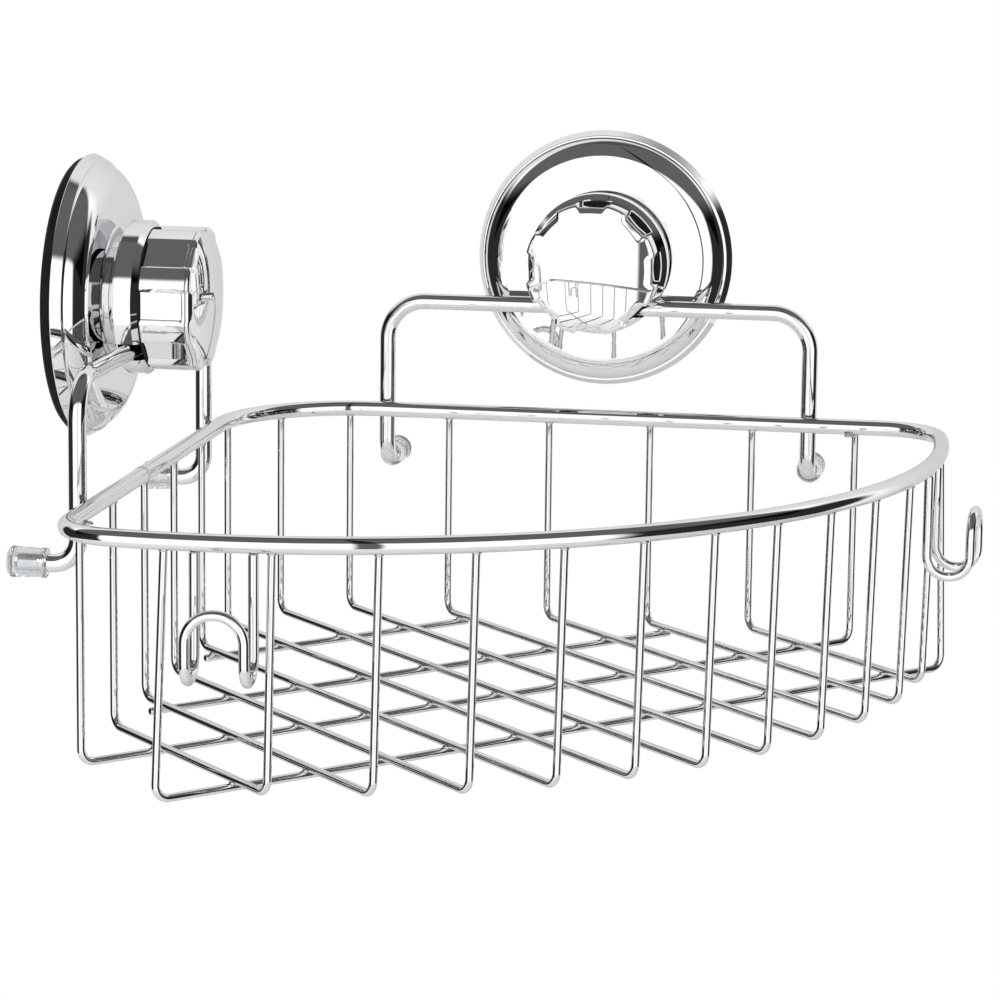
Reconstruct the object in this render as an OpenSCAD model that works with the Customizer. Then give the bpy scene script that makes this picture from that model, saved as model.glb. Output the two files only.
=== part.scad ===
// Corner shower caddy: a wire basket that hangs in the corner of two tiled walls from two
// twist-lock suction cups. The wall planes are Y = 0 (back wall) and the plane left of the
// basket. The origin is the centre of the back suction cup's wall face, +Z is up, and the
// basket lies towards -Y. The whole caddy mirrors about the vertical plane that halves the
// corner. Millimetres throughout.

/* [Rim] */
// Diameter of the thick rim wire
rim_wire_d = 4.8; // [4:0.1:6]
// Distance from each wall to the middle of the rim wire
wall_gap = 24; // [22:1:28]
// Radius of the rim at the back corner
corner_r = 42; // [30:1:50]
// Radius of the bowed front of the rim
front_r = 182.5; // [180:0.5:190]
// Distance of the front bow's centre from the two straight sides
front_centre = 37.5; // [35:0.5:40]
// Radius of the two tips of the rim
tip_r = 18; // [14:1:20]

/* [Basket] */
// Diameter of the thin basket wires
wire_d = 2.2; // [1.8:0.1:2.6]
// Spacing of the upright wires along each wall
leg_pitch = 32; // [31:0.5:32.5]
// Number of wires on each side of the middle one
wires_per_side = 5; // [5]
// Height from the floor wires to the rim at the back corner, centre to centre
basket_depth = 64; // [55:1:75]
// Radius of the bends between the floor and the upright wires
floor_bend_r = 4; // [3:0.5:6]
// How much lower the floor lies at the front than at the back corner
floor_fall = 2.4; // [0:0.1:3]
// How far the front uprights lean inwards on their way down
front_lean = 2.2; // [0:0.1:4]
// How far the front cross wire spreads outwards on its way down
cross_splay = 2.8; // [0:0.1:3]

/* [Hangers] */
// Diameter of the hanger wire
hanger_wire_d = 5; // [4.5:0.1:5.5]
// Distance between the two legs of a hanger
hanger_span = 134; // [126:1:138]
// Height of the hanger's top bar above the rim
hanger_rise = 34.2; // [32:0.1:36]
// Height of the bumpers below the rim
bumper_drop = 16.5; // [14:0.5:20]
// Radius of the upper bends of a hanger
hanger_top_r = 12; // [8:1:16]
// Length of a clear bumper
bumper_len = 10.4; // [9:0.1:11]
// Largest diameter of a clear bumper
bumper_d = 8.6; // [8:0.1:9]

/* [Front hooks] */
// Diameter of the hook wire
hook_wire_d = 2.8; // [2.4:0.1:3.2]
// Distance between the two legs of a hook
hook_span = 15.4; // [12:0.1:18]
// How far a hook reaches out in front of the rim
hook_reach = 12.6; // [11:0.1:16]
// Lowest point of the left hook below the rim
hook_drop_left = 34.5; // [30:0.5:40]
// Lowest point of the right hook below the rim
hook_drop_right = 32; // [30:0.5:40]
// Height of a hook's upright end above its lowest point
hook_height = 18.5; // [17:0.5:22]
// Angle of the left hook from the middle of the front
hook_turn_left = 42.2; // [41:0.2:43]
// Angle of the right hook from the middle of the front
hook_turn_right = 38.5; // [38:0.1:39]

/* [Suction cups] */
// Distance of a cup's axis from the rim's neighbouring straight side
cup_along_rim = 110; // [108:1:112]
// Height of a cup's axis above the rim
cup_rise = 48; // [46:1:50]
// Diameter of the dome cover
cover_d = 81.2; // [76:0.2:84]
// Diameter of the rubber suction cup
rubber_d = 78.8; // [72:0.2:79]
// Diameter of the hanger collar
collar_d = 44; // [42:0.5:46]
// Diameter of the knob across its ridges
knob_d = 41.4; // [40:0.2:42]
// Number of ridges on the knob
ridges = 8; // [6:1:10]
// Travel of the stud from loose to tight
stud_travel = 3; // [2:0.1:3]

/* [Hidden] */
$fn = 96;
slack = 0.02; // gap between faces that only touch
hair = 0.01; // bends are this much thicker in radius than the straight wire they join
poke = 0.1; // straight wire reaches this far into its bends
fit = 0.05; // radial running clearance of the stud
sides = ["back", "left"];
cup_parts = ["suction_cup", "stud", "cover", "collar", "washer", "knob", "knob_insert",
    "knob_cap"];
basket_names = [for (i = [1:2 * wires_per_side + 1]) str("basket_wire_", i)];
cross_names = [for (i = [1:4]) str("cross_wire_", i)];
hook_names = ["front_hook_left", "front_hook_right"];
hanger_names = [for (s = sides) str(s, "_hanger")];
bumper_names = [for (s = sides, e = ["inner", "outer"]) str(s, "_bumper_", e)];
cup_names = [for (s = sides, p = cup_parts) str(s, "_", p)];

rim_z = -cup_rise;
rim_r = rim_wire_d / 2;
leg_top = -rim_r - slack;
// spacing of the parallel basket wires, seen along the basket's middle line
wire_step = leg_pitch / sqrt(2);
// where the rim meets the middle line at the back corner
corner_reach = corner_r * (sqrt(2) - 1);
front_mid = front_centre * sqrt(2);
// straight ends of the rim's two sides, at the tips
tip_run = front_r - tip_r;
tip_offset = front_centre - tip_r;
side_end = front_centre + sqrt(tip_run * tip_run - tip_offset * tip_offset);
tip_turn = atan2(side_end - front_centre, -tip_offset);
// the short cross wires stop just past the second and the fourth basket wire
short_overhang = 3;
cross_reach = [52, 98.2, 6 * wire_step, 177];
hanger_offset = rim_r + hanger_wire_d / 2 + slack;
bar_drop = cup_rise - hanger_rise;
bumper_bend_r = 7;
chrome = [0.78, 0.79, 0.8];
wire_chrome = [0.7, 0.71, 0.73];
rubber = [0.06, 0.06, 0.06];
clear = [0.85, 0.88, 0.9, 0.5];
steel = [0.6, 0.6, 0.62];

// Stations of a cup's pieces, measured from the wall along the cup's axis
cover_back = 2.9;
cover_face = 11;
boss_front = 12.4;
plate_back = 15.7;
collar_front = 22.6;
washer_front = 23;
knob_back = washer_front + fit;
cap_seat = 36.2;
cap_edge = 37.4;
cap_front = 40;
stud_r = 4;
stud_front = 32;
head_back = 4;
head_front = 6.5;
head_r = 7.5;
insert_r = 7;
hub_front = 34;
hollow_r = 17.2;
shell = 1.2;

function unit(v) = v / norm(v);

// ---- placing ----

// From the rim's own frame (corner of its straight sides, at wire height) to the model's frame
module from_rim() {
    translate([-cup_along_rim, -wall_gap, rim_z]) children();
}

// Swaps the back wall's side for the left wall's
module other_wall() {
    mirror([1, 1, 0]) children();
}

// X along the basket's middle line, away from the corner; Y across it; Z up
module along_middle() {
    from_rim() rotate([0, 0, -45]) children();
}

// A cup piece, drawn from the wall outwards along +Z with +Y up, put in its place
module on_wall(side) {
    from_rim() {
        if (side == "back") back_cup_place() children();
        else other_wall() back_cup_place() children();
    }
}

module back_cup_place() {
    translate([cup_along_rim, wall_gap, cup_rise]) rotate([90, 0, 0]) children();
}

// ---- bent wire ----

// Straight wire from a to b
module rod(a, b, d) {
    run = b - a;
    translate(a)
        rotate([0, acos(run.z / norm(run)), atan2(run.y, run.x)])
        cylinder(d = d, h = norm(run));
}

function bend_half(a, b, c) = (180 - acos(unit(a - b) * unit(c - b))) / 2;
function bend_start(a, b, c, r) = b + unit(a - b) * r * tan(bend_half(a, b, c));

// Round bend of radius r at corner b, on the way from a to c
module bend(a, b, c, r, d) {
    half = bend_half(a, b, c);
    middle = b + unit(unit(a - b) + unit(c - b)) * r / cos(half);
    out = unit(bend_start(a, b, c, r) - middle);
    ahead = unit(b - a);
    up = cross(out, ahead);
    multmatrix([
        [out.x, ahead.x, up.x, middle.x],
        [out.y, ahead.y, up.y, middle.y],
        [out.z, ahead.z, up.z, middle.z],
        [0, 0, 0, 1]
    ])
        rotate_extrude(angle = 2 * half) translate([r, 0]) circle(d = d + 2 * hair);
}

// Wire through the corner points pts, with a bend of radius radii[i] at each inner point
module bent_wire(pts, radii, d) {
    last = len(pts) - 1;
    for (i = [0:last - 1]) {
        from = i == 0 ? pts[0] : bend_start(pts[i + 1], pts[i], pts[i - 1], radii[i - 1]);
        to = i == last - 1 ? pts[last]
            : bend_start(pts[i], pts[i + 1], pts[i + 2], radii[i]);
        ahead = unit(to - from) * poke;
        rod(from - (i == 0 ? 0 : 1) * ahead, to + (i == last - 1 ? 0 : 1) * ahead, d);
    }
    for (i = [1:last - 1]) bend(pts[i - 1], pts[i], pts[i + 1], radii[i - 1], d);
}

// ---- basket ----

module rim_arc(centre, r, from, to, wire_r) {
    translate(centre) rotate([0, 0, from])
        rotate_extrude(angle = to - from) translate([r, 0]) circle(r = wire_r);
}

// One straight side of the rim and the tip at its end
module rim_side() {
    rod([corner_r - poke, 0, 0], [side_end + poke, 0, 0], rim_wire_d);
    rim_arc([side_end, -tip_r, 0], tip_r, tip_turn - 90, 90, rim_r + hair);
}

module rim_wire() {
    overlap = 0.05;
    color(chrome) from_rim() {
        rim_arc([corner_r, -corner_r, 0], corner_r, 90, 180, rim_r + hair);
        rim_side();
        other_wall() rim_side();
        rim_arc([front_centre, -front_centre, 0], front_r, -tip_turn - overlap,
            tip_turn - 90 + overlap, rim_r);
    }
}

// How far the rim's front reaches along the middle line, at distance across from it
function front_reach(across) = front_mid + sqrt(front_r * front_r - across * across);
function back_reach(across) = max(abs(across), corner_reach);

// Height of the floor wires' middles at a distance from the corner, and of the cross wires'
function floor_z(reach) = -basket_depth - floor_fall * reach / (front_mid + front_r);
function cross_z(reach) = floor_z(reach) - wire_d - slack;

// U-shaped wire parallel to the middle line: wall-side upright, floor run, front upright
module basket_wire(place) {
    across = (place - wires_per_side - 1) * wire_step;
    back = back_reach(across);
    front = front_reach(across);
    color(wire_chrome) along_middle()
        bent_wire([
            [back, across, leg_top],
            [back, across, floor_z(back)],
            [front - front_lean, across, floor_z(front)],
            [front, across, leg_top]
        ], [floor_bend_r, floor_bend_r], wire_d);
}

// Wires 1 and 2 are straight stubs under the floor; 3 and 4 turn up to the rim at both ends
module cross_wire(place) {
    reach = cross_reach[place - 1];
    color(wire_chrome) along_middle() {
        if (place <= 2) {
            half = 2 * place * wire_step + short_overhang;
            rod([reach, -half, cross_z(reach)], [reach, half, cross_z(reach)], wire_d);
        } else {
            top = place == 3 ? reach
                : sqrt(pow(front_r, 2) - pow(reach - front_mid, 2));
            foot = place == 3 ? top : top + cross_splay;
            bent_wire([
                [reach, -top, leg_top],
                [reach, -foot, cross_z(reach)],
                [reach, foot, cross_z(reach)],
                [reach, top, leg_top]
            ], [floor_bend_r, floor_bend_r], wire_d);
        }
    }
}

// Hook at an angle round the bowed front: two legs down, a turn outwards and up, joined on top
module front_hook(turn, drop) {
    half = hook_span / 2;
    low = -drop;
    high = low + hook_height;
    turn_r = hook_reach / 2 - 0.2;
    arch_r = half - 0.2;
    color(wire_chrome) along_middle() translate([front_mid, 0, 0]) rotate([0, 0, turn])
        translate([front_r, 0, 0])
        bent_wire([
            [0, -half, leg_top],
            [0, -half, low],
            [hook_reach, -half, low],
            [hook_reach, -half, high],
            [hook_reach, half, high],
            [hook_reach, half, low],
            [0, half, low],
            [0, half, leg_top]
        ], [turn_r, turn_r, arch_r, arch_r, turn_r, turn_r], hook_wire_d);
}

// ---- hangers and bumpers ----

function hanger_leg(end) = cup_along_rim + (end == "inner" ? -1 : 1) * hanger_span / 2;

// Hanger wire for the back wall, in the rim's frame
module hanger_shape() {
    foot = wall_gap - 2;
    near = hanger_leg("inner");
    far = hanger_leg("outer");
    bent_wire([
        [near, foot, -bumper_drop],
        [near, hanger_offset, -bumper_drop],
        [near, hanger_offset, hanger_rise],
        [far, hanger_offset, hanger_rise],
        [far, hanger_offset, -bumper_drop],
        [far, foot, -bumper_drop]
    ], [bumper_bend_r, hanger_top_r, hanger_top_r, bumper_bend_r], hanger_wire_d);
}

module hanger(side) {
    color(chrome) from_rim() {
        if (side == "back") hanger_shape();
        else other_wall() hanger_shape();
    }
}

// Clear cap on the end of a hanger leg; its flat end rests on the wall
module bumper_shape(end) {
    wall = wall_gap;
    mouth_d = bumper_d - 0.8;
    lip = 1.6;
    translate([hanger_leg(end), wall, -bumper_drop]) rotate([90, 0, 0])
        difference() {
            union() {
                cylinder(d1 = bumper_d - 1, d2 = bumper_d, h = 0.6);
                translate([0, 0, 0.6])
                    cylinder(d1 = bumper_d, d2 = mouth_d, h = bumper_len - lip - 0.6);
                translate([0, 0, bumper_len - lip]) cylinder(d = mouth_d + 0.4, h = lip);
            }
            translate([0, 0, 2 - slack]) cylinder(d = hanger_wire_d + slack, h = bumper_len);
        }
}

module bumper(side, end) {
    color(clear) from_rim() {
        if (side == "back") bumper_shape(end);
        else other_wall() bumper_shape(end);
    }
}

// ---- suction cups ----

// Rubber disc with a boss moulded round the stud's head
module suction_cup(side) {
    r = rubber_d / 2;
    color(rubber) on_wall(side) rotate_extrude() polygon([
        [0, 0],
        [r - 0.6, 0],
        [r, 0.8],
        [r - 0.2, cover_back - slack],
        [r - 4, cover_back + 0.6],
        [14, 4.6],
        [11, 8],
        [stud_r + slack, 8],
        [stud_r + slack, head_front + slack],
        [head_r + slack, head_front + slack],
        [head_r + slack, head_back - slack],
        [0, head_back - slack]
    ]);
}

// Threaded stud with a flat head, pulled outwards by the knob
module stud(side) {
    color(steel) on_wall(side) {
        translate([0, 0, head_back]) cylinder(r = head_r, h = head_front - head_back);
        translate([0, 0, head_front]) cylinder(r = stud_r, h = stud_front - head_front - 0.8);
        translate([0, 0, stud_front - 0.8]) cylinder(r1 = stud_r, r2 = stud_r - 0.8, h = 0.8);
    }
}

// Quarter-round points from [r0, z0] (heading along the axis) to [r1, z1] (heading inwards)
function shoulder(r0, z0, r1, z1, steps) = [
    for (i = [0:steps]) [r1 + (r0 - r1) * cos(90 * i / steps), z0 + (z1 - z0) * sin(90 * i / steps)]
];

// Dome cover: short band, rounded shoulder, nearly flat face and a raised ring in the middle
module cover(side) {
    r = cover_d / 2;
    boss_r = 20;
    skin = shoulder(r, 6, r - 5.5, cover_face - 0.7, 10);
    inside = shoulder(r - shell, 6, r - 5.5 - shell, cover_face - 0.7 - shell, 10);
    color(chrome) on_wall(side) rotate_extrude() polygon(concat(
        [[r, cover_back]],
        skin,
        [[boss_r, cover_face], [boss_r, boss_front], [stud_r + 1, boss_front],
            [stud_r + 1, cover_face - shell]],
        [for (i = [len(inside) - 1:-1:0]) inside[i]],
        [[r - shell, cover_back]]
    ));
}

// Collar behind the knob: neck, flange and the groove that the hanger's bar drops into
module collar(side) {
    neck_r = 13.5;
    bevel = 1.5;
    groove = hanger_wire_d + 2 * fit;
    bar_back = wall_gap - hanger_offset - hanger_wire_d / 2 - fit;
    color(chrome) on_wall(side) difference() {
        union() {
            translate([0, 0, boss_front]) cylinder(r = neck_r, h = plate_back - boss_front);
            translate([0, 0, plate_back])
                cylinder(d1 = collar_d - 1, d2 = collar_d, h = 0.5);
            translate([0, 0, plate_back + 0.5])
                cylinder(d = collar_d, h = collar_front - plate_back - 0.5 - bevel);
            translate([0, 0, collar_front - bevel])
                cylinder(d1 = collar_d, d2 = collar_d - 2 * bevel, h = bevel);
        }
        cylinder(r = stud_r + 0.3, h = 60);
        translate([-collar_d, -bar_drop - groove / 2, bar_back])
            cube([2 * collar_d, groove, 20]);
    }
}

// Thin friction washer between collar and knob
module washer(side) {
    color(rubber) on_wall(side) difference() {
        translate([0, 0, collar_front])
            cylinder(r = knob_d / 2 - 0.6, h = washer_front - collar_front);
        cylinder(r = stud_r + 0.3, h = 60);
    }
}

// Outline of the knob: a circle with a flat-bottomed recess between each pair of ridges
module knob_outline() {
    recess = 1.7;
    pitch = 360 / ridges;
    floor_r = knob_d / 2 - recess;
    width = 2 * (knob_d / 2 - recess / 2) * sin(pitch * 0.3);
    difference() {
        circle(d = knob_d);
        for (i = [0:ridges - 1]) rotate((i + 0.5) * pitch)
            translate([floor_r, -width / 2]) square([recess * 2, width]);
    }
}

// Knob shell: ridged outside, open at the front, hollow inside round a hub
module knob(side) {
    r = knob_d / 2;
    wall = 2.4;
    color(chrome) on_wall(side) difference() {
        intersection() {
            translate([0, 0, knob_back]) linear_extrude(cap_seat - knob_back) knob_outline();
            rotate_extrude() polygon([
                [0, knob_back],
                [r - 0.3, knob_back],
                [r, knob_back + 0.3],
                [r, cap_seat],
                [0, cap_seat]
            ]);
        }
        translate([0, 0, knob_back - 1]) cylinder(r = insert_r, h = 30);
        translate([0, 0, knob_back + wall]) difference() {
            cylinder(r = hollow_r, h = 20);
            cylinder(r = insert_r + wall, h = hub_front - knob_back - wall);
        }
    }
}

// Threaded bush pressed into the knob's hub
module knob_insert(side) {
    color(steel) on_wall(side) difference() {
        translate([0, 0, knob_back]) cylinder(r = insert_r, h = hub_front - knob_back);
        cylinder(r = stud_r + fit, h = 60);
    }
}

// Domed front of the knob, with the knob's outline and a short spigot inside its shell
module knob_cap(side) {
    edge_r = knob_d / 2;
    rounding = 0.9;
    spigot = 1;
    rise = cap_front - cap_edge;
    sphere_r = (edge_r * edge_r + rise * rise) / (2 * rise);
    color(chrome) on_wall(side) {
        intersection() {
            translate([0, 0, cap_seat]) linear_extrude(cap_front - cap_seat) knob_outline();
            translate([0, 0, cap_front - sphere_r]) sphere(r = sphere_r);
            rotate_extrude() polygon(concat(
                [[0, cap_seat]],
                shoulder(edge_r, cap_edge - rounding, edge_r - rounding, cap_edge, 6),
                [[edge_r - rounding - 1, cap_front], [0, cap_front]]
            ));
        }
        translate([0, 0, cap_seat - spigot]) cylinder(r = hollow_r - slack, h = spigot + 0.1);
    }
}

rim_wire();
for (i = [1:len(basket_names)])
    basket_wire(i);
for (i = [1:len(cross_names)])
    cross_wire(i);
front_hook(-hook_turn_left, hook_drop_left);  // front_hook_left
front_hook(hook_turn_right, hook_drop_right);  // front_hook_right
for (s = sides) {
    hanger(s);
    bumper(s, "inner");
    bumper(s, "outer");
    suction_cup(s);
    stud(s);
    cover(s);
    collar(s);
    washer(s);
    knob(s);
    knob_insert(s);
    knob_cap(s);
}
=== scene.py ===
"""Looks of the corner shower caddy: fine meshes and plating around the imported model, metres."""
import math

import bmesh
import bpy
from mathutils import Matrix, Vector, noise


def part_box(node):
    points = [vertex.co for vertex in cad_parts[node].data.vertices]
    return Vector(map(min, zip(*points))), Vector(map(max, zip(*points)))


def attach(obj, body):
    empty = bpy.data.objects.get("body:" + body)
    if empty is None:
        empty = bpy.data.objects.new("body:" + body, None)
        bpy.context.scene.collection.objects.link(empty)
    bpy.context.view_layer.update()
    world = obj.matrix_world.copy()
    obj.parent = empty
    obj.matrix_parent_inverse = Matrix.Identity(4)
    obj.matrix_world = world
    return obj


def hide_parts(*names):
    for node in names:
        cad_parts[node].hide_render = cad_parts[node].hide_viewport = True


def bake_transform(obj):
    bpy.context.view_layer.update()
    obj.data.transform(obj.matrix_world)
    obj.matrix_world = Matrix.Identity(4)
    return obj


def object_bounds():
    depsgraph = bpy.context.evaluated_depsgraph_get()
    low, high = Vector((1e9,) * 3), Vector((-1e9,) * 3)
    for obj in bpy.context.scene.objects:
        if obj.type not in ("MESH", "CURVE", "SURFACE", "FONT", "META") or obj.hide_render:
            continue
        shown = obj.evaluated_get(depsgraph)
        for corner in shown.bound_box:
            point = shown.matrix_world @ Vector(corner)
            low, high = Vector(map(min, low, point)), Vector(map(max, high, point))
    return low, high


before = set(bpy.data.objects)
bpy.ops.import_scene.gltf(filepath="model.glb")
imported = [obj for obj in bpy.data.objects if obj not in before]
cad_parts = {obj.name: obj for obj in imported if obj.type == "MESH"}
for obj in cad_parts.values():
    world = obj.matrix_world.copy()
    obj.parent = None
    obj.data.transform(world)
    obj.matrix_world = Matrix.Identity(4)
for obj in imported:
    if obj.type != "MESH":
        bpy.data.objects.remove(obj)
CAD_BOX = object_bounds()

MM = 0.001
ROOT_BODY = "caddy"
SIDES = ("back", "left")

DIAGONAL = math.sqrt(0.5)

# Wire radii
RIM_R = 2.4 * MM
WIRE_R = 1.1 * MM
HOOK_R = 1.4 * MM
HANGER_R = 2.5 * MM

# Rim: back corner, tips and bowed front, whose centre is set in from both walls alike
CORNER_R = 42 * MM
TIP_R = 18 * MM
FRONT_R = 182.5 * MM
FRONT_CENTRE = 37.5 * MM

# Basket: bends at the floor, lean of the front uprights, spread of the front cross wire's feet
# and fall of the floor from the back corner to the front
FLOOR_BEND_R = 4 * MM
FRONT_LEAN = 2.2 * MM
CROSS_SPLAY = 2.8 * MM
FLOOR_FALL = 2.4 * MM

# Hangers: bends beside the bar and above the feet
HANGER_TOP_R = 12 * MM
HANGER_FOOT_R = 7 * MM

# Front hooks: half the span between the legs, rise of the outer legs and the short straight
# left between two bends. A slanted hook's box is wider than the hook, so the span is given here.
HOOK_HALF_SPAN = 7.7 * MM
HOOK_RISE = 18.5 * MM
HOOK_STRAIGHT = 0.2 * MM

# Weld beads: radius and half height, and how far their middles stand off the wire
CROSSING_BEAD = (1.25 * MM, 0.75 * MM)
CROSSING_OFFSET = 0.1 * MM
RIM_BEAD = (1.4 * MM, 0.6 * MM)
RIM_BEAD_OFFSET = 0.05 * MM

# Butt weld round the rim: its distance from the back wall, half width and height on the wire
RIM_WELD_REACH = 131 * MM
RIM_WELD_HALF = 0.8 * MM
RIM_WELD_HEIGHT = 0.12 * MM


# ---- mesh helpers ----

def add_object(name, bm):
    """Turns a bmesh into a smooth-shaded object with outward normals."""
    bmesh.ops.recalc_face_normals(bm, faces=bm.faces)
    mesh = bpy.data.meshes.new(name)
    bm.to_mesh(mesh)
    bm.free()
    mesh.shade_smooth()
    obj = bpy.data.objects.new(name, mesh)
    bpy.context.collection.objects.link(obj)
    return obj


def finish_piece(obj, material, body, nodes=()):
    """Gives a piece its material and body, and hides the CAD nodes that it stands for."""
    obj.data.materials.append(material)
    if nodes:
        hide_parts(*nodes)
    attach(obj, body)


def arc_points(centre, start, end, turn, step=math.radians(5)):
    """Points from start to end on a circle about centre, through an angle of turn."""
    a, b = start - centre, end - centre
    axis = a.cross(b).normalized()
    count = max(2, math.ceil(turn / step))
    return [centre + Matrix.Rotation(turn * i / count, 3, axis) @ a for i in range(count + 1)]


def bent_path(corners, radii):
    """Path through corner points, with a round bend at each inner one."""
    path = [corners[0]]
    for before, corner, after, r in zip(corners, corners[1:], corners[2:], radii):
        u, v = (before - corner).normalized(), (after - corner).normalized()
        half = (math.pi - u.angle(v)) / 2
        run = r * math.tan(half)
        centre = corner + (u + v).normalized() * r / math.cos(half)
        path += arc_points(centre, corner + u * run, corner + v * run, 2 * half)
    return path + [corners[-1]]


def ring_frames(path, closed):
    """Tangent and two cross directions at each path point, without twist."""
    count = len(path)
    frames = []
    side = None
    for i, point in enumerate(path):
        before = path[i - 1] if i or closed else point
        after = path[(i + 1) % count] if i < count - 1 or closed else point
        along = (after - before).normalized()
        if side is None:
            side = along.orthogonal().normalized()
        side = (side - along * side.dot(along)).normalized()
        frames.append((along, side, along.cross(side)))
    return frames


def sweep(bm, path, radius, closed=False, sides=28, round_end=0.35):
    """Round wire along a path. Open ends are rounded off over a share of the radius."""
    frames = ring_frames(path, closed)
    rings = [(p, radius, f) for p, f in zip(path, frames)]
    if not closed:
        steps = 4
        depth = radius * round_end
        for at_end in (False, True):
            p, _, f = rings[-1] if at_end else rings[0]
            inward = -f[0] if at_end else f[0]
            extra = []
            for k in range(steps):
                a = math.pi / 2 * k / steps
                extra.append((p + inward * depth * (1 - math.sin(a)),
                              radius - depth * (1 - math.cos(a)), f))
            if at_end:
                rings = rings[:-1] + extra + [(p, radius - depth, f)]
            else:
                rings = [(p, radius - depth, f)] + extra[::-1] + rings[1:]
    loops = []
    for p, r, (_, side, up) in rings:
        loops.append([
            bm.verts.new(p + (side * math.cos(a) + up * math.sin(a)) * r)
            for a in (2 * math.pi * k / sides for k in range(sides))])
    pairs = list(zip(loops, loops[1:] + loops[:1]))
    for low, high in pairs if closed else pairs[:-1]:
        for k in range(sides):
            n = (k + 1) % sides
            bm.faces.new((low[k], low[n], high[n], high[k]))
    if not closed:
        bm.faces.new(loops[0][::-1])
        bm.faces.new(loops[-1])


def wire_piece(node, path, radius, material, closed=False, sides=28):
    """Fine wire that stands for one CAD node of the caddy body."""
    bm = bmesh.new()
    sweep(bm, path, radius, closed, sides)
    finish_piece(add_object(f"{node}_look", bm), material, ROOT_BODY, [node])


def softened(corners):
    """Profile points from (radius, station, fillet) corners, each fillet an arc."""
    points = []
    last = len(corners) - 1
    for i, (r, t, fillet) in enumerate(corners):
        corner = Vector((r, t))
        if not fillet or i in (0, last):
            points.append((r, t))
            continue
        u = (Vector(corners[i - 1][:2]) - corner).normalized()
        v = (Vector(corners[i + 1][:2]) - corner).normalized()
        half = (math.pi - u.angle(v)) / 2
        run = fillet * math.tan(half)
        centre = corner + (u + v).normalized() * fillet / math.cos(half)
        start, end = corner + u * run - centre, corner + v * run - centre
        steps = 6
        turn = start.angle_signed(end)
        # a point just outside each end of the arc keeps the straight beside it straight
        points.append(tuple(corner + u * run * 1.15))
        for k in range(steps + 1):
            # mathutils measures signed angles clockwise
            points.append(tuple(centre + Matrix.Rotation(-turn * k / steps, 2) @ start))
        points.append(tuple(corner + v * run * 1.15))
    return points


# ---- turned pieces ----

class Axis:
    """Axis of a turned node: its place on the wall and its across, up and outward directions."""

    def __init__(self, side, node):
        lo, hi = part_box(node)
        middle = (lo + hi) / 2
        self.up = Vector((0, 0, 1))
        if side == "back":
            self.origin = Vector((middle.x, hi.y, middle.z))
            self.across = Vector((1, 0, 0))
            self.out = Vector((0, -1, 0))
        else:
            self.origin = Vector((lo.x, middle.y, middle.z))
            self.across = Vector((0, -1, 0))
            self.out = Vector((1, 0, 0))

    def place(self, r, angle, t):
        """A point at radius r, angle and distance t from the wall, all in millimetres."""
        ring = self.across * math.cos(angle) + self.up * math.sin(angle)
        return self.origin + (ring * r + self.out * t) * MM


def revolve(axis, name, profile, angles, closed=False, shape=None):
    """Turned shape with rings of points at the angles, or at that many even ones.

    shape(r, angle, t), where given, returns the radius to use instead of r.
    """
    bm = bmesh.new()
    if isinstance(angles, int):
        angles = [2 * math.pi * k / angles for k in range(angles)]
    loops = []
    for r, t in profile:
        if r < 1e-6:
            loops.append([bm.verts.new(axis.place(0, 0, t))])
            continue
        loops.append([
            bm.verts.new(axis.place(shape(r, a, t) if shape else r, a, t)) for a in angles])
    pairs = list(zip(loops, loops[1:] + loops[:1]))
    for low, high in pairs if closed else pairs[:-1]:
        for k in range(len(angles)):
            n = (k + 1) % len(angles)
            if len(low) == 1:
                bm.faces.new((low[0], high[n], high[k]))
            elif len(high) == 1:
                bm.faces.new((low[k], low[n], high[0]))
            else:
                bm.faces.new((low[k], low[n], high[n], high[k]))
    return add_object(name, bm)


# ---- materials ----

def new_material(name):
    material = bpy.data.materials.new(name)
    material.use_nodes = True
    tree = material.node_tree
    return material, tree, tree.nodes["Principled BSDF"]


def noise_node(tree, scale, detail=3.0):
    """Noise on the object's own coordinates, in metres."""
    coordinates = tree.nodes.new("ShaderNodeTexCoord")
    node = tree.nodes.new("ShaderNodeTexNoise")
    node.inputs["Scale"].default_value = scale
    node.inputs["Detail"].default_value = detail
    tree.links.new(coordinates.outputs["Object"], node.inputs["Vector"])
    return node


def ranged(tree, source, low, high):
    """Noise spread over the range from low to high."""
    node = tree.nodes.new("ShaderNodeMapRange")
    node.inputs["From Min"].default_value = 0.3
    node.inputs["From Max"].default_value = 0.7
    node.inputs["To Min"].default_value = low
    node.inputs["To Max"].default_value = high
    tree.links.new(source.outputs["Fac"], node.inputs["Value"])
    return node


def tones(tree, source, dark, light):
    """Noise as a colour between dark and light."""
    node = tree.nodes.new("ShaderNodeValToRGB")
    node.color_ramp.elements[0].position = 0.35
    node.color_ramp.elements[0].color = (*dark, 1)
    node.color_ramp.elements[1].position = 0.65
    node.color_ramp.elements[1].color = (*light, 1)
    tree.links.new(source.outputs["Fac"], node.inputs["Fac"])
    return node


def bump(tree, source, distance, strength, below=None):
    """Noise as surface relief, laid over the relief below it."""
    node = tree.nodes.new("ShaderNodeBump")
    node.inputs["Distance"].default_value = distance
    node.inputs["Strength"].default_value = strength
    tree.links.new(source.outputs["Fac"], node.inputs["Height"])
    if below:
        tree.links.new(below.outputs["Normal"], node.inputs["Normal"])
    return node


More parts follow.
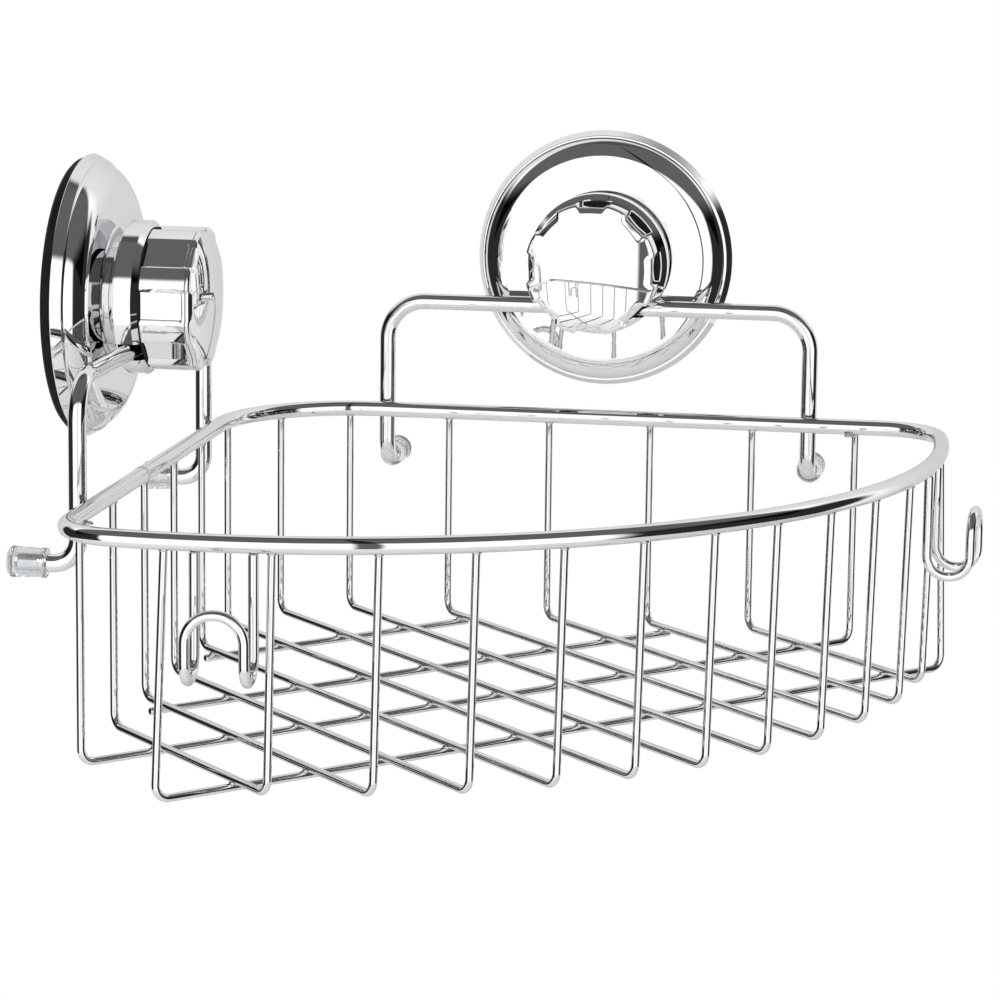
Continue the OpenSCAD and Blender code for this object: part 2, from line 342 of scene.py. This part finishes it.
def plating(name, tone, gloss, ripple):
    """Bright plating: faint clouds of haze in the gloss, and a slight ripple in the surface."""
    material, tree, shader = new_material(name)
    shader.inputs["Metallic"].default_value = 1
    shader.inputs["Specular Tint"].default_value = (0.8, 0.8, 0.81, 1)
    clouds = noise_node(tree, 90)
    haze = noise_node(tree, 420, 5)
    waves = noise_node(tree, 160, 2)
    light = [min(1, c * 1.03) for c in tone]
    tree.links.new(tones(tree, clouds, tone, light).outputs["Color"], shader.inputs["Base Color"])
    tree.links.new(ranged(tree, haze, gloss, gloss * 2.4).outputs["Result"],
                   shader.inputs["Roughness"])
    fine = bump(tree, haze, 0.02 * MM, 0.06)
    tree.links.new(bump(tree, waves, ripple * MM, 0.25, fine).outputs["Normal"],
                   shader.inputs["Normal"])
    return material


def rubber(name, tone, roughness):
    """Moulded rubber: fine pores, a little dust and an uneven sheen."""
    material, tree, shader = new_material(name)
    pores = noise_node(tree, 2600, 4)
    dust = noise_node(tree, 120, 5)
    dusty = [c + 0.005 for c in tone]
    shader.inputs["Specular IOR Level"].default_value = 0.12
    tree.links.new(tones(tree, dust, tone, dusty).outputs["Color"], shader.inputs["Base Color"])
    tree.links.new(ranged(tree, dust, roughness, roughness + 0.18).outputs["Result"],
                   shader.inputs["Roughness"])
    tree.links.new(bump(tree, pores, 0.03 * MM, 0.35).outputs["Normal"], shader.inputs["Normal"])
    return material


def clear_plastic(name):
    """Soft clear plastic with flow marks and a faint haze."""
    material, tree, shader = new_material(name)
    shader.inputs["Transmission Weight"].default_value = 0.92
    shader.inputs["IOR"].default_value = 1.46
    flow = noise_node(tree, 300)
    haze = noise_node(tree, 900)
    tree.links.new(tones(tree, flow, (0.8, 0.82, 0.83), (0.92, 0.93, 0.94)).outputs["Color"],
                   shader.inputs["Base Color"])
    tree.links.new(ranged(tree, haze, 0.06, 0.16).outputs["Result"], shader.inputs["Roughness"])
    tree.links.new(bump(tree, flow, 0.05 * MM, 0.25).outputs["Normal"], shader.inputs["Normal"])
    return material


def bare_metal(name, dark, light, roughness):
    """Machined metal with a fine grain in its tone, gloss and surface."""
    material, tree, shader = new_material(name)
    shader.inputs["Metallic"].default_value = 1
    grain = noise_node(tree, 900)
    tree.links.new(tones(tree, grain, dark, light).outputs["Color"], shader.inputs["Base Color"])
    tree.links.new(ranged(tree, grain, roughness, roughness + 0.15).outputs["Result"],
                   shader.inputs["Roughness"])
    tree.links.new(bump(tree, grain, 0.05 * MM, 0.3).outputs["Normal"], shader.inputs["Normal"])
    return material


def soft_stage(name, tone):
    """Matt paper with faint clouds in its tone."""
    material, tree, shader = new_material(name)
    grain = noise_node(tree, 40, 4)
    light = [min(1, c * 1.02) for c in tone]
    tree.links.new(tones(tree, grain, tone, light).outputs["Color"], shader.inputs["Base Color"])
    shader.inputs["Roughness"].default_value = 0.9
    return material


WIRE_CHROME = plating("wire_chrome", (0.84, 0.845, 0.85), 0.022, 0.004)
THIN_CHROME = plating("thin_wire_chrome", (0.8, 0.805, 0.81), 0.022, 0.004)
COVER_CHROME = plating("cover_chrome", (0.87, 0.875, 0.88), 0.012, 0.003)
KNOB_CHROME = plating("knob_chrome", (0.87, 0.875, 0.88), 0.012, 0.003)
WELD_CHROME = plating("weld_chrome", (0.66, 0.665, 0.67), 0.12, 0.06)
CUP_RUBBER = rubber("cup_rubber", (0.005, 0.005, 0.0055), 0.45)
WASHER_RUBBER = rubber("washer_rubber", (0.01, 0.01, 0.01), 0.5)
CLEAR = clear_plastic("clear_bumper")
STEEL = bare_metal("stud_steel", (0.42, 0.42, 0.43), (0.62, 0.62, 0.63), 0.22)
BRASS = bare_metal("insert_brass", (0.62, 0.44, 0.18), (0.8, 0.6, 0.28), 0.2)


# ---- rim and basket ----

def flat_arc(centre, r, start, end, z, step):
    """Points on a level arc, a step apart, angles in degrees."""
    count = max(2, math.ceil(abs(end - start) / step))
    angles = [math.radians(start + (end - start) * i / count) for i in range(count + 1)]
    return [Vector((centre[0] + r * math.cos(a), centre[1] + r * math.sin(a), z)) for a in angles]


RIM_LO, RIM_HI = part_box("rim_wire")
RIM_X = RIM_LO.x + RIM_R
RIM_Y = RIM_HI.y - RIM_R
RIM_Z = (RIM_LO.z + RIM_HI.z) / 2
FRONT = Vector((RIM_X + FRONT_CENTRE, RIM_Y - FRONT_CENTRE, RIM_Z))


def rim_path():
    """Closed loop: back corner, left side and tip, bowed front, right tip."""
    inner = FRONT_R - TIP_R
    offset = FRONT_CENTRE - TIP_R
    side_end = FRONT_CENTRE + math.sqrt(inner * inner - offset * offset)
    turn = math.degrees(math.atan2(side_end - FRONT_CENTRE, -offset))
    path = flat_arc((RIM_X + CORNER_R, RIM_Y - CORNER_R), CORNER_R, 90, 180, RIM_Z, 3)
    path += flat_arc((RIM_X + TIP_R, RIM_Y - side_end), TIP_R, 180, 360 - turn, RIM_Z, 4)
    path += flat_arc(FRONT, FRONT_R, 360 - turn, 270 + turn, RIM_Z, 1.5)[1:-1]
    path += flat_arc((RIM_X + side_end, RIM_Y - TIP_R), TIP_R, turn - 90, 90, RIM_Z, 4)
    return path


def basket_path(node):
    """Wall-side upright, floor run and leaning front upright of one basket wire."""
    lo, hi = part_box(node)
    back = Vector((lo.x + WIRE_R, hi.y - WIRE_R, 0))
    front = Vector((hi.x - WIRE_R, lo.y + WIRE_R, 0))
    lean = Vector((-DIAGONAL, DIAGONAL, 0)) * FRONT_LEAN
    fall = FLOOR_FALL * (front - back).length / (FRONT_CENTRE / DIAGONAL + FRONT_R)
    up = Vector((0, 0, hi.z))
    low = Vector((0, 0, lo.z + WIRE_R))
    return bent_path([back + up, back + low + Vector((0, 0, fall)), front + lean + low,
                      front + up], [FLOOR_BEND_R, FLOOR_BEND_R])


def stub_path(node):
    """Straight cross wire under the floor."""
    lo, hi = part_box(node)
    inset = WIRE_R * DIAGONAL
    z = (lo.z + hi.z) / 2
    return [Vector((lo.x + inset, lo.y + inset, z)), Vector((hi.x - inset, hi.y - inset, z))]


def cross_path(node, splay):
    """Cross wire that turns up to the rim at both ends, its feet spread by splay."""
    lo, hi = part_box(node)
    floor = lo.z + WIRE_R
    foot_a = Vector((lo.x + WIRE_R, lo.y + WIRE_R, floor))
    foot_b = Vector((hi.x - WIRE_R, hi.y - WIRE_R, floor))
    rise = Vector((0, 0, hi.z - floor))
    inward = Vector((DIAGONAL, DIAGONAL, 0)) * splay
    return bent_path([foot_a + inward + rise, foot_a, foot_b, foot_b - inward + rise],
                     [FLOOR_BEND_R, FLOOR_BEND_R])


def hook_path(node):
    """Two legs down from the rim, out, up and joined by an arch."""
    lo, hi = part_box(node)
    middle = (lo + hi) / 2
    out = Vector((middle.x - FRONT.x, middle.y - FRONT.y, 0))
    reach = 2 * (out.length - FRONT_R)
    out.normalize()
    along = Vector((-out.y, out.x, 0))
    half = HOOK_HALF_SPAN
    low, top = lo.z + HOOK_R, RIM_Z - RIM_R
    high = low + HOOK_RISE
    foot = Vector((FRONT.x, FRONT.y, 0)) + out * FRONT_R

    def at(outward, sideways, z):
        return foot + out * outward + along * sideways + Vector((0, 0, z))

    turn = reach / 2 - HOOK_STRAIGHT
    arch = half - HOOK_STRAIGHT
    return bent_path([at(0, -half, top), at(0, -half, low), at(reach, -half, low),
                      at(reach, -half, high), at(reach, half, high), at(reach, half, low),
                      at(0, half, low), at(0, half, top)],
                     [turn, turn, arch, arch, turn, turn])


def hanger_path(side):
    """Foot into the wall bumper, leg, top bar, leg and foot."""
    lo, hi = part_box(f"{side}_hanger")
    low, top = lo.z + HANGER_R, hi.z - HANGER_R
    if side == "back":
        plane, wall = lo.y + HANGER_R, hi.y
        ends = (lo.x + HANGER_R, hi.x - HANGER_R)

        def at(s, depth, z):
            return Vector((s, depth, z))
    else:
        plane, wall = hi.x - HANGER_R, lo.x
        ends = (hi.y - HANGER_R, lo.y + HANGER_R)

        def at(s, depth, z):
            return Vector((depth, s, z))
    a, b = ends
    return bent_path([at(a, wall, low), at(a, plane, low), at(a, plane, top), at(b, plane, top),
                      at(b, plane, low), at(b, wall, low)],
                     [HANGER_FOOT_R, HANGER_TOP_R, HANGER_TOP_R, HANGER_FOOT_R])


def bead(bm, centre, size, seed):
    """Small weld bead: a flattened, slightly uneven drop. size is its radius and half height."""
    radius, height = size
    made = bmesh.ops.create_icosphere(bm, subdivisions=2, radius=1)["verts"]
    for v in made:
        wobble = 1 + 0.12 * noise.noise(v.co * 1.7 + Vector((seed, seed * 0.37, 0)))
        p = v.co * wobble
        v.co = centre + Vector((p.x * radius, p.y * radius, p.z * height))


def weld_beads(basket, cross, stubs):
    """Beads where wires cross under the floor and where uprights meet the rim."""
    bm = bmesh.new()
    seed = 0
    for node in cross + stubs:
        lo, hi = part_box(node)
        across_lo = (lo.x + lo.y) * DIAGONAL
        across_hi = (hi.x + hi.y) * DIAGONAL
        reach = ((lo.x + hi.x) / 2 - (lo.y + hi.y) / 2) * DIAGONAL
        for other in basket:
            olo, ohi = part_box(other)
            place = ((olo.x + ohi.x) / 2 + (olo.y + ohi.y) / 2) * DIAGONAL
            start = (olo.x - ohi.y) * DIAGONAL + WIRE_R
            end = (ohi.x - olo.y) * DIAGONAL - WIRE_R
            if not (across_lo < place < across_hi and start < reach < end):
                continue
            seed += 1
            z = lo.z + 2 * WIRE_R + CROSSING_OFFSET
            centre = Vector(((reach + place) * DIAGONAL, (place - reach) * DIAGONAL, z))
            bead(bm, centre, CROSSING_BEAD, seed)
    tops = [p for node in basket for p in (basket_path(node)[0], basket_path(node)[-1])]
    tops += [p for node in cross for p in (cross_path(node, CROSS_SPLAY)[0],
                                           cross_path(node, CROSS_SPLAY)[-1])]
    for p in tops:
        seed += 1
        bead(bm, p + Vector((0, 0, RIM_BEAD_OFFSET)), RIM_BEAD, seed)
    obj = add_object("weld_beads", bm)
    finish_piece(obj, WELD_CHROME, ROOT_BODY)


def rim_joint():
    """Butt weld round the rim wire on its left side."""
    bm = bmesh.new()
    y = RIM_Y - RIM_WELD_REACH
    path = [Vector((RIM_X, y + d, RIM_Z)) for d in (-RIM_WELD_HALF, 0, RIM_WELD_HALF)]
    sweep(bm, path, RIM_R + RIM_WELD_HEIGHT, sides=40, round_end=0.05)
    finish_piece(add_object("rim_joint_weld", bm), WELD_CHROME, ROOT_BODY)


BASKET = sorted((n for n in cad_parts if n.startswith("basket_wire_")),
                key=lambda n: int(n.rsplit("_", 1)[1]))
wire_piece("rim_wire", rim_path(), RIM_R, WIRE_CHROME, closed=True, sides=40)
for wire in BASKET:
    wire_piece(wire, basket_path(wire), WIRE_R, THIN_CHROME)
for wire in ("cross_wire_1", "cross_wire_2"):
    wire_piece(wire, stub_path(wire), WIRE_R, THIN_CHROME)
for wire, splay in (("cross_wire_3", 0), ("cross_wire_4", CROSS_SPLAY)):
    wire_piece(wire, cross_path(wire, splay), WIRE_R, THIN_CHROME)
for hook in ("front_hook_left", "front_hook_right"):
    wire_piece(hook, hook_path(hook), HOOK_R, WIRE_CHROME)
for side in SIDES:
    wire_piece(f"{side}_hanger", hanger_path(side), HANGER_R, WIRE_CHROME,
               sides=36)
weld_beads(BASKET, ["cross_wire_3", "cross_wire_4"], ["cross_wire_1", "cross_wire_2"])
rim_joint()


# ---- suction cups: radii and distances from the wall are in millimetres ----

RIDGES = 8
PITCH = 2 * math.pi / RIDGES
CUP_SIDES = 200

# Knob: outer radius, back and open front, then its hub and the hollow round it
KNOB_R = 20.65
KNOB_BACK = 23.05
KNOB_FRONT = 36.12
HUB_BORE_R = 7.03
HUB_R = 9.4
HUB_FRONT = 34
HOLLOW_R = 17.15
HOLLOW_BACK = 25.5

# Recesses in the knob: flat floor, half width, corner rounding and front end, the widths over
# which a recess and its notch fall off, the notch's share of the depth, and the ring of radii
# in which the cut fades out
RECESS_FLOOR = 19.0
RECESS_HALF = 4.6
RECESS_CORNER = 1.3
RECESS_FRONT = 35.5
RECESS_EDGE = 0.5
NOTCH_EDGE = 0.6
NOTCH_SHARE = 0.82
FADE_R = 17.6
FADE_WIDTH = 2.4

# Domed front: highest point, and where the dome meets its edge rounding
DOME_TOP = 40.0
DOME_EDGE_R = 19.75
DOME_EDGE = 37.5
CAP_SEAT = 36.24

# Cover's shoulder: arc radius and centre
SHOULDER_R = 9.3
SHOULDER_CENTRE = (29.58, 2.82)


def ridge_angles():
    """Angles round the knob, closer together where a recess begins and ends."""
    edge, near = RECESS_HALF / KNOB_R, 0.03
    spans = [(0, edge - near, 5), (edge - near, edge + near, 6),
             (edge + near, PITCH - edge - near, 5), (PITCH - edge - near, PITCH - edge + near, 6),
             (PITCH - edge + near, PITCH, 5)]
    marks = []
    for ridge in range(RIDGES):
        for start, end, count in spans:
            marks += [(ridge + 0.5) * PITCH + start + (end - start) * i / count
                      for i in range(count)]
    return marks


def recess(angle, t):
    """Share of the recess's depth cut at this angle and distance, and the angle to its middle."""
    turn = angle % PITCH - PITCH / 2
    sideways = abs(turn) * KNOB_R
    dx = sideways - (RECESS_HALF - RECESS_CORNER)
    dt = t - (RECESS_FRONT - RECESS_CORNER)
    outside = math.hypot(max(dx, 0), max(dt, 0)) + min(max(dx, dt), 0) - RECESS_CORNER
    pocket = min(1, max(0, 0.5 - outside / RECESS_EDGE))
    notch = min(1, max(0, 0.5 - (sideways - RECESS_HALF) / NOTCH_EDGE))
    return max(pocket, NOTCH_SHARE * notch), turn


def knob_outline(r, angle, t):
    """Radius with the recesses cut in; the cut fades out towards the axis."""
    fade = min(1, max(0, (r - FADE_R) / FADE_WIDTH))
    share, turn = recess(angle - PITCH / 2, t)
    floor = RECESS_FLOOR / math.cos(turn)
    return r - share * fade * (KNOB_R - floor)


def knob_profile():
    """Shell open at the front, hollow round its hub, with extra rings where a recess ends."""
    points = softened([
        (HUB_BORE_R, KNOB_BACK, 0), (HUB_BORE_R, HUB_FRONT, 0), (HUB_R, HUB_FRONT, 0.3),
        (HUB_R, HOLLOW_BACK, 0.3), (HOLLOW_R, HOLLOW_BACK, 0.4), (HOLLOW_R, KNOB_FRONT - 0.02, 0),
        (KNOB_R, KNOB_FRONT, 0.12), (KNOB_R, KNOB_BACK, 0.3), (HUB_BORE_R, KNOB_BACK, 0)])[:-1]
    rings = [35.8 - 0.2 * i for i in range(13)] + [32, 28, 24.5]
    last = max(i for i, (r, t) in enumerate(points) if t > rings[0] + 0.1 and r > KNOB_R - 0.01)
    return points[:last + 1] + [(KNOB_R, t) for t in rings] + points[last + 1:]


def cap_profile():
    """Dome out to a small rounding at the knob's outline, and a flat seat behind it."""
    rise, steps = DOME_TOP - DOME_EDGE, 28
    ball = (DOME_EDGE_R * DOME_EDGE_R + rise * rise) / (2 * rise)
    dome = []
    for i in range(steps + 1):
        r = DOME_EDGE_R * i / steps
        dome.append((r, DOME_TOP - ball + math.sqrt(ball * ball - r * r)))
    rounding = [(20.1, 37.38), (20.38, 37.2), (20.56, 36.95), (20.64, 36.65)]
    return dome + rounding + [(20.63, 36.35), (20.5, CAP_SEAT), (0, CAP_SEAT)]


def cover_profile():
    """Drafted band at the wall, a fine step, wide round shoulder, near-flat face, raised ring."""
    centre_r, centre_t = SHOULDER_CENTRE
    shoulder = [(centre_r + SHOULDER_R * math.sin(a), centre_t + SHOULDER_R * math.cos(a))
                for a in (math.radians(68 - 4 * i) for i in range(13))]
    band = softened([(40.2, 3.0, 0), (40.6, 3.4, 0.25), (38.95, 6.3, 0.3), (38.45, 6.25, 0.08),
                     (38.2, 6.5, 0)])[:-1]
    face = softened([shoulder[-1] + (0,), (31.4, 11.75, 1.5), (20.7, 11.95, 0.2),
                     (20.1, 12.4, 0.2), (5.0, 12.4, 0)])
    inner = [(5.0, 9.8), (27, 9.6), (32.0, 9.1), (36.4, 6.0), (37.2, 5.4), (39.3, 3.0)]
    return band + shoulder[:-1] + face + inner


def rubber_profile():
    """Disc with a thin lip, a dished underside groove and the boss round the stud's head."""
    return softened([
        (0, 0.0, 0), (34.8, 0.0, 0), (35.2, 0.25, 0.1), (35.6, 0.0, 0.1), (38.4, 0.0, 0.3),
        (39.35, 0.9, 0.3), (39.1, 2.8, 0.3), (35.0, 3.4, 0.6), (14, 4.6, 1.5), (11, 8, 0.5),
        (4.05, 8, 0)]) + [(4.05, 6.55), (7.55, 6.55), (7.55, 3.95), (0, 3.95)]


def bumper(side, end):
    """Clear cap on a hanger foot: blunt nose, slight taper and a rolled lip."""
    node = f"{side}_bumper_{end}"
    profile = softened([
        (0, 0, 0), (3.7, 0, 0.5), (4.3, 0.8, 0.5), (3.9, 8.6, 0.3), (3.9, 8.8, 0.1),
        (4.1, 9.1, 0.3), (4.1, 10.4, 0.4), (2.53, 10.4, 0.4), (2.53, 2.0, 0.5), (0, 2.0, 0)])
    obj = revolve(Axis(side, node), f"{node}_look", profile, 64)
    finish_piece(obj, CLEAR, ROOT_BODY, [node])


def suction_cup(side):
    axis = Axis(side, f"{side}_suction_cup")
    knob_body = f"{side}_knob_body"
    cover = revolve(axis, f"{side}_cover_look", cover_profile(), CUP_SIDES, closed=True)
    finish_piece(cover, COVER_CHROME, ROOT_BODY, [f"{side}_cover"])
    knob = revolve(axis, f"{side}_knob_look", knob_profile(), ridge_angles(), True, knob_outline)
    finish_piece(knob, KNOB_CHROME, knob_body, [f"{side}_knob"])
    cap = revolve(axis, f"{side}_knob_cap_look", cap_profile(), ridge_angles(), False, knob_outline)
    finish_piece(cap, KNOB_CHROME, knob_body, [f"{side}_knob_cap"])
    disc = revolve(axis, f"{side}_suction_cup_look", rubber_profile(), CUP_SIDES)
    disc.data.materials.append(CUP_RUBBER)
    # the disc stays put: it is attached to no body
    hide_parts(f"{side}_suction_cup")
    # the disc's wall side stays put and its boss is drawn out with the stud
    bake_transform(disc)
    for end in ("inner", "outer"):
        bumper(side, end)


CARRIED = {"stud": STEEL, "collar": KNOB_CHROME, "washer": WASHER_RUBBER, "knob_insert": BRASS}
for side in SIDES:
    suction_cup(side)
    for part, material in CARRIED.items():
        obj = bpy.data.objects[f"{side}_{part}"]
        for slot in obj.material_slots:
            slot.material = material


# ---- stage, light and camera ----

# Brightness of the room in reflections, and the stage
ROOM_LIGHT = 1.25
FLOOR_R = 0.9
FLOOR_DROP = 0.45

# Dark areas of the room, in degrees. Azimuth is 0 towards the camera and positive to its right;
# pitch is 0 towards the camera and 90 straight up. Each share is the part of the light taken.
LEFT_FLAG = (-128, -50)
RIGHT_FLAG = (54, 114)
SIDE_SHARE = 0.98
SIDE_TOP = (18, 34)
CEILING = (36, 112)
CEILING_SHARE = 0.9
FRONT_FLAG = (5, 10)
FRONT_SHARE = 0.9
BEHIND = (110, 130)
BEHIND_SHARE = 0.32

# The camera's place from the back cup's middle at the wall, its turn, tilt, roll and lens
CAMERA_FROM_CUP = Vector((0.1492, -1.0800, 0.1269))
CAMERA_TURN = math.radians(9.624)
CAMERA_DOWN = math.radians(9.0)
CAMERA_ROLL = math.radians(0.679)
CAMERA_LENS = 123.83
CAMERA_SHIFT = -0.1031

def softbox(name, place, target, width, height, power):
    """Wide soft light that doesn't show in the plating."""
    light = bpy.data.lights.new(name, "AREA")
    light.shape = "RECTANGLE"
    light.size = width
    light.size_y = height
    light.energy = power
    obj = bpy.data.objects.new(name, light)
    obj.location = place
    obj.rotation_euler = (target - place).to_track_quat("-Z", "Y").to_euler()
    obj.visible_glossy = False
    bpy.context.collection.objects.link(obj)


def world_math(tree, operation, first, second=None):
    node = tree.nodes.new("ShaderNodeMath")
    node.operation = operation
    for socket, value in zip(node.inputs, (first, second)):
        if isinstance(value, (int, float)):
            socket.default_value = value
        elif value is not None:
            tree.links.new(value, socket)
    return node.outputs[0]


def world_dot(tree, direction, fixed):
    node = tree.nodes.new("ShaderNodeVectorMath")
    node.operation = "DOT_PRODUCT"
    tree.links.new(direction, node.inputs[0])
    node.inputs[1].default_value = fixed
    return node.outputs["Value"]


def world_ramp(tree, angle, start, end):
    """0 below the start angle and 1 above the end angle, in degrees, with a smooth step."""
    node = tree.nodes.new("ShaderNodeMapRange")
    node.interpolation_type = "SMOOTHSTEP"
    node.inputs["From Min"].default_value = math.radians(start)
    node.inputs["From Max"].default_value = math.radians(end)
    tree.links.new(angle, node.inputs["Value"])
    return node.outputs["Result"]


def world_band(tree, angle, start, end, soft):
    """1 between two angles, falling to 0 over soft degrees on both sides."""
    rise = world_ramp(tree, angle, start - soft / 2, start + soft / 2)
    fall = world_ramp(tree, angle, end - soft / 2, end + soft / 2)
    return world_math(tree, "SUBTRACT", rise, fall)


def studio_world(turn):
    """White room with a dark ceiling strip, dark flags at both sides and a narrow front flag.

    The dark areas are seen only in reflections: where the camera looks past the caddy the room
    is plain white. turn is the camera's azimuth, from which the room's angles are measured.
    """
    made = bpy.data.worlds.new("studio")
    made.use_nodes = True
    tree = made.node_tree
    direction = tree.nodes.new("ShaderNodeTexCoord").outputs["Generated"]
    ahead = world_dot(tree, direction, (math.sin(turn), -math.cos(turn), 0))
    right = world_dot(tree, direction, (math.cos(turn), math.sin(turn), 0))
    high = world_dot(tree, direction, (0, 0, 1))
    azimuth = world_math(tree, "ARCTAN2", right, ahead)
    pitch = world_math(tree, "ARCTAN2", high, ahead)
    rise = world_math(tree, "ARCSINE", high)
    level = world_math(tree, "SUBTRACT", 1, world_ramp(tree, rise, *SIDE_TOP))
    flags = [world_band(tree, azimuth, *flag, 8) for flag in (LEFT_FLAG, RIGHT_FLAG)]
    sides = world_math(tree, "MULTIPLY", world_math(tree, "ADD", *flags), level)
    ceiling = world_band(tree, pitch, *CEILING, 8)
    front = world_band(tree, azimuth, *FRONT_FLAG, 2)
    behind = world_ramp(tree, world_math(tree, "ABSOLUTE", azimuth), *BEHIND)
    light = world_math(tree, "SUBTRACT", 1, world_math(tree, "MULTIPLY", sides, SIDE_SHARE))
    for dark, share in ((ceiling, CEILING_SHARE), (front, FRONT_SHARE), (behind, BEHIND_SHARE)):
        kept = world_math(tree, "SUBTRACT", 1, world_math(tree, "MULTIPLY", dark, share))
        light = world_math(tree, "MULTIPLY", light, kept)
    light = world_math(tree, "MULTIPLY", light, ROOM_LIGHT)
    seen = tree.nodes.new("ShaderNodeLightPath").outputs["Is Camera Ray"]
    background = tree.nodes["Background"]
    background.inputs["Color"].default_value = (1, 1, 1, 1)
    tree.links.new(world_math(tree, "MAXIMUM", light, seen), background.inputs["Strength"])
    return made


MIDDLE = (CAD_BOX[0] + CAD_BOX[1]) / 2
floor_mesh = bmesh.new()
bmesh.ops.create_circle(floor_mesh, cap_ends=True, segments=96, radius=FLOOR_R)
for v in floor_mesh.verts:
    v.co += Vector((MIDDLE.x, MIDDLE.y, CAD_BOX[0].z - FLOOR_DROP))
floor = add_object("floor", floor_mesh)
floor.data.materials.append(soft_stage("floor_paper", (0.9, 0.9, 0.9)))
softbox("front_light", MIDDLE + Vector((0.2, -2.2, 1.3)), MIDDLE, 2.2, 1.0, 42)
softbox("left_light", MIDDLE + Vector((-2.0, -0.9, 0.9)), MIDDLE, 0.9, 1.2, 16)
bpy.context.scene.world = studio_world(CAMERA_TURN)

# The camera stands in front of the caddy, a little above it and to the right of the back cup
camera_data = bpy.data.cameras.new("camera")
camera_data.lens = CAMERA_LENS
camera_data.sensor_width = 36
camera_data.shift_y = CAMERA_SHIFT
camera = bpy.data.objects.new("camera", camera_data)
camera.location = Axis("back", "back_suction_cup").origin + CAMERA_FROM_CUP
camera.rotation_euler = (
    Matrix.Rotation(CAMERA_TURN, 3, "Z")
    @ Matrix.Rotation(math.pi / 2 - CAMERA_DOWN, 3, "X")
    @ Matrix.Rotation(CAMERA_ROLL, 3, "Z")).to_euler()
bpy.context.collection.objects.link(camera)
bpy.context.scene.camera = camera
bpy.context.scene.view_settings.view_transform = "Standard"
